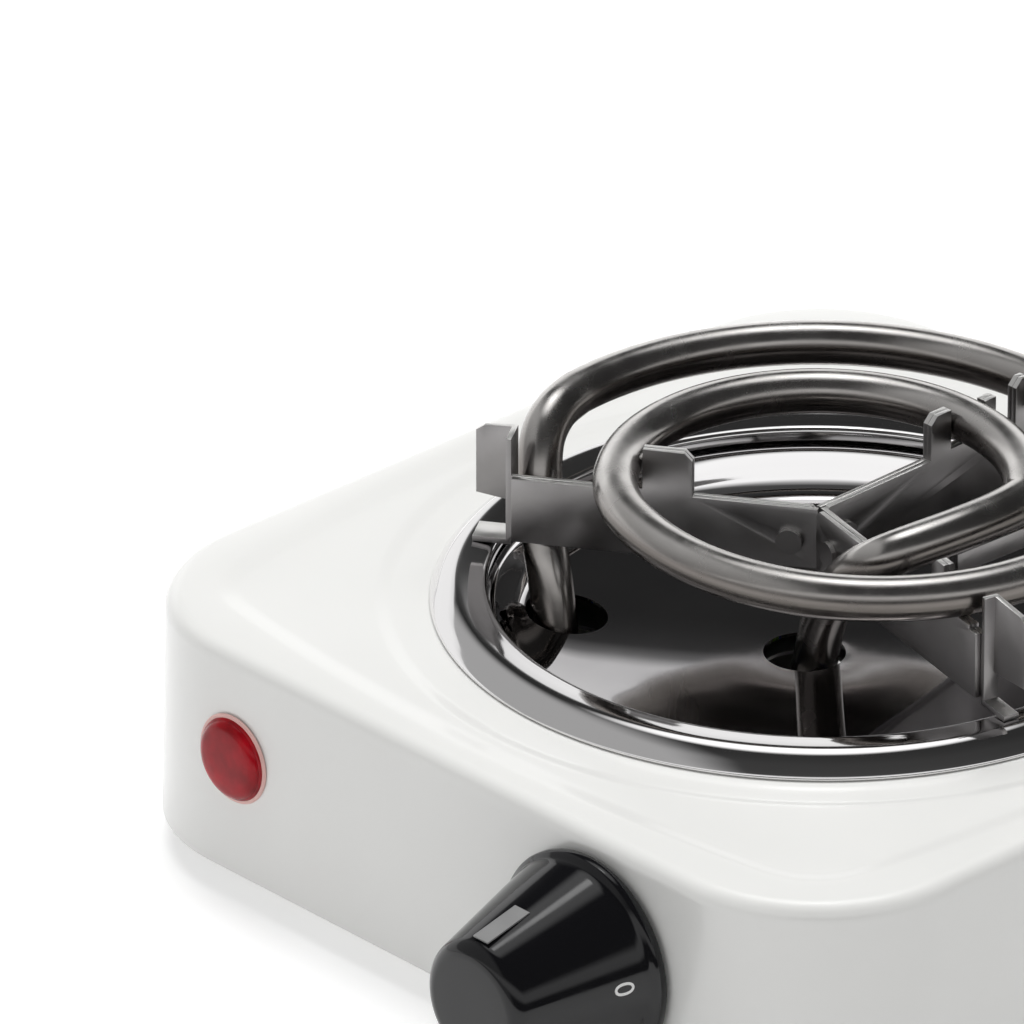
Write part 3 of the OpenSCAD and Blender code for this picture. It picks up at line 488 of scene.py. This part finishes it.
def makeBowl():
    line = [(p.x, p.y + bowlZ) for p in softLine(bowlSet["profile"], curveSteps)]
    bm = spinProfile(line, bowlSet["steps"])
    bmesh.ops.recalc_face_normals(bm, faces=bm.faces)
    if sum(f.normal.z for f in bm.faces) < 0:
        bmesh.ops.reverse_faces(bm, faces=bm.faces)
    obj = finishPiece("mirrorBowl", bm, "mirror", stands=["reflector_bowl"], sharp=80,
                      outward=False)
    thicken(obj, bowlSet["wall"])
    for x, y in bowlSet["holes"]:
        cutter = bmesh.new()
        bmesh.ops.create_cone(cutter, cap_ends=True, segments=bowlSet["holeSteps"],
                              radius1=bowlSet["holeR"] * mm, radius2=bowlSet["holeR"] * mm,
                              depth=bowlSet["cutDepth"] * mm,
                              matrix=Matrix.Translation(Vector((x, y, bowlZ)) * mm))
        data = bpy.data.meshes.new("holeCutter")
        cutter.to_mesh(data)
        cutter.free()
        tool = bpy.data.objects.new("holeCutter", data)
        scene.collection.objects.link(tool)
        cut = obj.modifiers.new("hole", "BOOLEAN")
        cut.operation = "DIFFERENCE"
        cut.solver = "EXACT"
        cut.object = tool
        applyModifiers(obj)
        bpy.data.objects.remove(tool)


makeRing()
makeBowl()
print("ring and bowl spun")


# heating coil
coilSet = dict(tubeR=3.25, z=57.0, outer=44.6, inner=29.0, start=187, blendFrom=57, blendTo=-111,
               end=-323, step=3, underBowl=8.5, routeSteps=6, roundness=8)


def coilRadius(a):
    t = (coilSet["blendFrom"] - a) / (coilSet["blendFrom"] - coilSet["blendTo"])
    t = min(max(t, 0), 1)
    return coilSet["outer"] + (coilSet["inner"] - coilSet["outer"]) * t * t * (3 - 2 * t)


def coilPath():
    # turns that narrow between two angles, with a lead down through the bowl at each end
    z, low, steps = coilSet["z"], bowlZ, coilSet["routeSteps"]
    ends = low - coilSet["underBowl"]
    turns = [(coilRadius(a) * math.cos(math.radians(a)), coilRadius(a) * math.sin(math.radians(a)), z)
             for a in range(coilSet["start"], coilSet["end"] - 1, -coilSet["step"])]
    lead = [(-29.1, -22.6, ends), (-29.9, -22.6, low - 5), (-30.7, -22.4, low), (-33.1, -21.2, low + 7),
            (-36.4, -19.4, z - 14), (-40.4, -16.2, z - 4.4), (-42.7, -11.6, z - 0.8)]
    tail = [(23.9, 11.6, z), (23.4, 2.7, z - 0.1), (20.6, -6.6, z - 1.4), (16, -8.6, z - 5),
            (10.9, -7.4, z - 10.6), (5.6, -4.6, low + 9), (1.2, -1.4, low + 1.4), (-0.6, -1.0, low - 5),
            (-1.0, -1.0, ends)]
    first = softLine(lead + turns[:2], steps)[:steps * len(lead)]
    last = softLine(turns[-2:] + tail, steps)[steps + 1:]
    return first + [Vector(p) for p in turns] + last


def makeCoil():
    path = coilPath()
    curve = bpy.data.curves.new("heatingCoil", "CURVE")
    curve.dimensions = "3D"
    curve.bevel_depth = coilSet["tubeR"] * mm
    curve.bevel_resolution = coilSet["roundness"]
    curve.use_fill_caps = True
    line = curve.splines.new("POLY")
    line.points.add(len(path) - 1)
    for point, p in zip(line.points, path):
        point.co = (*(p * mm), 1)
    finishPiece("heatingCoil", bakedMesh("coilCurve", curve), "sheath",
                stands=["coil_sheath"], sharp=60)


makeCoil()
print("coil wound")


# coil support
supportSet = dict(stripEdge=0.12, railEdge=0.1)
for cad, name in (("support_strip_left_back", "stripLeftBack"),
                  ("support_strip_back_right", "stripBackRight"),
                  ("support_strip_right_left", "stripRightLeft")):
    edgedCopy(cad, name, "strip", supportSet["stripEdge"])
edgedCopy("inner_end_rail", "innerRail", "strip", supportSet["railEdge"])
print("support folded")


# knob
# skirt: (distance from the skirt's radius, height above the gap)
knobSet = dict(x=30.5, z=21.4, front=-73.4, gap=0.8, length=22.5, skirtR=15.7, tipR=9.8, tipRound=2.6,
               tipFrom=12, tipSteps=12, steps=192,
               skirt=[(-2.9, 1.5), (-2.5, 0.2), (-0.5, 0), (-0.1, 0.15), (0, 0.5), (0, 1.4), (-0.2, 1.8),
                      (-0.7, 2.1), (-0.95, 2.5), (-1.15, 3.3)])
figureSet = dict(count=6, first=80, apart=36, size=4.2, out=5.6, raised=0.03, longest=0.8)


def frontPlace(x, z):
    # turns a piece that was spun about Z so that its height points to the front
    place = Matrix.Translation(Vector((x, knobSet["front"], z)) * mm)
    return place @ Matrix.Rotation(math.radians(90), 4, "X")


def makeNumeral(text, turn, cone):
    # plain figure printed on the knob's cone, turn measured from the top towards +X
    font = bpy.data.curves.new("figure", "FONT")
    font.body = text
    font.size = figureSet["size"] * mm
    font.align_x = "CENTER"
    bm = bakedMesh("figure", font)
    bmesh.ops.triangulate(bm, faces=bm.faces)
    longest = figureSet["longest"] * mm
    bmesh.ops.subdivide_edges(bm, edges=[e for e in bm.edges if e.calc_length() > longest], cuts=1)
    (r0, z0), (r1, z1) = cone
    for v in bm.verts:
        out = figureSet["out"] * mm + v.co.y
        r = (r0 + (r1 - r0) * (out / mm - z0) / (z1 - z0) + figureSet["raised"]) * mm
        a = turn + v.co.x / r
        v.co = (r * math.sin(a), r * math.cos(a), out)
    bm.transform(frontPlace(knobSet["x"], knobSet["z"]))
    finishPiece("figure" + text, bm, "white", "dial", outward=False)


def makeKnob():
    k = knobSet
    end = k["gap"] + k["length"]
    tip = k["tipR"] - k["tipRound"]
    line = [(k["skirtR"] + out, k["gap"] + up) for out, up in k["skirt"]]
    for i in range(k["tipSteps"] + 1):
        a = math.radians(k["tipFrom"] + (90 - k["tipFrom"]) * i / k["tipSteps"])
        line.append((tip + k["tipRound"] * math.cos(a), end - k["tipRound"] + k["tipRound"] * math.sin(a)))
    foot = len(k["skirt"]) - 1
    cone = line[foot], line[foot + 1]
    line += [(tip * 0.5, end), (0, end)]
    bm = spinProfile(line, k["steps"])
    bm.transform(frontPlace(k["x"], k["z"]))
    finishPiece("controlKnob", bm, "knob", "dial", ["knob"], sharp=50)
    for i in range(figureSet["count"]):
        makeNumeral(str(i), math.radians(figureSet["first"] + figureSet["apart"] * i), cone)


makeKnob()
print("knob turned")


# pilot lens
# both profiles: (distance from the lens's radius, distance out of the wall)
lensSet = dict(x=-42.9, z=23.2, r=6.0, steps=96,
               profile=[(-1.3, -7.5), (-1.3, 0.2), (0.25, 0.22), (0.3, 0.35), (0.2, 0.6), (-0.1, 0.72),
                        (-0.15, 0.95), (-0.35, 1.35), (-0.8, 1.68), (-1.4, 1.83), (-3.0, 1.93), (-6.0, 1.95)],
               seat=[(-0.2, 0.05), (0.75, 0.05), (0.8, 0.2), (0.65, 0.42), (-0.2, 0.45)])


def makeLens():
    def spun(points, closed=False):
        bm = spinProfile([(lensSet["r"] + out, up) for out, up in points], lensSet["steps"], closed)
        bm.transform(frontPlace(lensSet["x"], lensSet["z"]))
        return bm

    lens = spun(lensSet["profile"])
    finishPiece("pilotLens", lens, "lens", stands=["pilot_lens"], sharp=50)
    seat = spun(lensSet["seat"], True)
    finishPiece("lensSeat", seat, "seat", sharp=50)


makeLens()
print("lens made")


# stage, light and world
floorSet = dict(half=8, color=(0.8, 0.8, 0.8), roughness=0.9, glow=0.45)


def makeFloor():
    bm = bmesh.new()
    bmesh.ops.create_grid(bm, x_segments=1, y_segments=1, size=floorSet["half"])
    data = bpy.data.meshes.new("floor")
    bm.to_mesh(data)
    bm.free()
    floor = bpy.data.objects.new("floor", data)
    scene.collection.objects.link(floor)
    mat = bpy.data.materials.new("paleFloor")
    mat.use_nodes = True
    tree = mat.node_tree
    shader = tree.nodes["Principled BSDF"]
    shader.inputs["Base Color"].default_value = (*floorSet["color"], 1)
    shader.inputs["Roughness"].default_value = floorSet["roughness"]
    glow = tree.nodes.new("ShaderNodeEmission")
    glow.inputs["Strength"].default_value = floorSet["glow"]
    rays = tree.nodes.new("ShaderNodeLightPath")
    pick = tree.nodes.new("ShaderNodeMixShader")
    black = tree.nodes.new("ShaderNodeEmission")
    black.inputs["Strength"].default_value = 0
    both = tree.nodes.new("ShaderNodeAddShader")
    direct = mathNode(tree, "MAXIMUM", rays.outputs["Is Camera Ray"], rays.outputs["Is Glossy Ray"])
    direct = mathNode(tree, "MAXIMUM", direct, rays.outputs["Is Transmission Ray"])
    link(tree, direct, pick.inputs["Fac"])
    link(tree, black.outputs[0], pick.inputs[1])
    link(tree, glow.outputs[0], pick.inputs[2])
    link(tree, shader.outputs[0], both.inputs[0])
    link(tree, pick.outputs[0], both.inputs[1])
    link(tree, both.outputs[0], tree.nodes["Material Output"].inputs["Surface"])
    data.materials.append(mat)


lampSet = dict(skyLamp=dict(spot=(-0.25, 0.35, 1.5), size=1.4, power=23.5),
               frontLamp=dict(spot=(0.2, -1.6, 0.9), size=1.0, power=4))
lampTarget = (0, 0, 0.03)


def makeLamp(name, spot, size, power):
    data = bpy.data.lights.new(name, "AREA")
    data.shape = "SQUARE"
    data.size = size
    data.energy = power
    lamp = bpy.data.objects.new(name, data)
    scene.collection.objects.link(lamp)
    aim = (Vector(spot) - Vector(lampTarget)).to_track_quat("Z", "Y")
    lamp.matrix_world = Matrix.Translation(Vector(spot)) @ aim.to_matrix().to_4x4()
    lamp.visible_glossy = False


# what mirrors see: brightness by angle, from level toward the camera (0), over the top (90), to level behind
# (180), with a bright box, its core and a card at the left
worldSet = dict(fill=0.35, bandStart=-90, bandSpan=270,
                bands=[(-90, 0.5), (-7, 0.4), (-2, 0.07), (13, 0.07), (20, 0.9), (32, 0.95), (42, 0.06),
                       (97, 0.03), (150, 0.03), (153.4, 0.06), (154.6, 0.85), (160, 1.0), (180, 1.0)],
                boxAim=(-0.277, 0.257, 0.93), boxFull=11, boxFade=22, boxLevel=1.3,
                coreFull=3, coreFade=6, coreLevel=5, cardFrom=0.22, cardFull=0.55, cardLevel=0.42)


def makeWorld():
    world = bpy.data.worlds.new("studio")
    scene.world = world
    world.use_nodes = True
    tree = world.node_tree
    tree.nodes.clear()

    def background(strength):
        node = tree.nodes.new("ShaderNodeBackground")
        node.inputs["Color"].default_value = (1, 1, 1, 1)
        node.inputs["Strength"].default_value = strength
        return node

    out = tree.nodes.new("ShaderNodeOutputWorld")
    fill, seen, mirrored = background(worldSet["fill"]), background(1), background(1)
    rays = tree.nodes.new("ShaderNodeLightPath")
    coords = tree.nodes.new("ShaderNodeTexCoord")

    def along(direction):
        # how far the ray's direction goes along another
        dot = tree.nodes.new("ShaderNodeVectorMath")
        dot.operation = "DOT_PRODUCT"
        dot.inputs[1].default_value = direction
        link(tree, coords.outputs["Generated"], dot.inputs[0])
        return dot.outputs["Value"]

    def lit(source, start, full, level):
        patch = tree.nodes.new("ShaderNodeMapRange")
        patch.interpolation_type = "SMOOTHSTEP"
        patch.inputs["From Min"].default_value = start
        patch.inputs["From Max"].default_value = full
        patch.inputs["To Max"].default_value = level
        link(tree, source, patch.inputs["Value"])
        return patch.outputs["Result"]

    split = tree.nodes.new("ShaderNodeSeparateXYZ")
    link(tree, coords.outputs["Generated"], split.inputs[0])
    angle = mathNode(tree, "ARCTAN2", split.outputs["Z"], along(towardCamera))
    start, span = worldSet["bandStart"], worldSet["bandSpan"]
    place = mathNode(tree, "DIVIDE", mathNode(tree, "ADD", angle, -math.radians(start)), math.radians(span))
    ramp = tree.nodes.new("ShaderNodeValToRGB")
    stops = ramp.color_ramp.elements
    while len(stops) < len(worldSet["bands"]):
        stops.new(0.5)
    for stop, (degrees, shade) in zip(stops, worldSet["bands"]):
        stop.position = (degrees - start) / span
        stop.color = (shade, shade, shade, 1)
    link(tree, place, ramp.inputs["Fac"])
    level = ramp.outputs["Color"]
    aim = along(Vector(worldSet["boxAim"]).normalized())
    for part in ("box", "core"):
        fade, full = (math.cos(math.radians(worldSet[part + key])) for key in ("Fade", "Full"))
        level = mathNode(tree, "MAXIMUM", level, lit(aim, fade, full, worldSet[part + "Level"]))
    across = along((-towardCamera.y, towardCamera.x, 0))
    card = lit(across, -worldSet["cardFrom"], -worldSet["cardFull"], worldSet["cardLevel"])
    level = mathNode(tree, "MAXIMUM", level, card)
    link(tree, level, mirrored.inputs["Strength"])
    glossy = tree.nodes.new("ShaderNodeMixShader")
    link(tree, rays.outputs["Is Glossy Ray"], glossy.inputs["Fac"])
    link(tree, fill.outputs[0], glossy.inputs[1])
    link(tree, mirrored.outputs[0], glossy.inputs[2])
    plain = tree.nodes.new("ShaderNodeMixShader")
    clear = mathNode(tree, "MAXIMUM", rays.outputs["Is Camera Ray"], rays.outputs["Is Transmission Ray"])
    link(tree, clear, plain.inputs["Fac"])
    link(tree, glossy.outputs[0], plain.inputs[1])
    link(tree, seen.outputs[0], plain.inputs[2])
    link(tree, plain.outputs[0], out.inputs["Surface"])


makeFloor()
for name, values in lampSet.items():
    makeLamp(name, **values)
makeWorld()
print("stage lit")
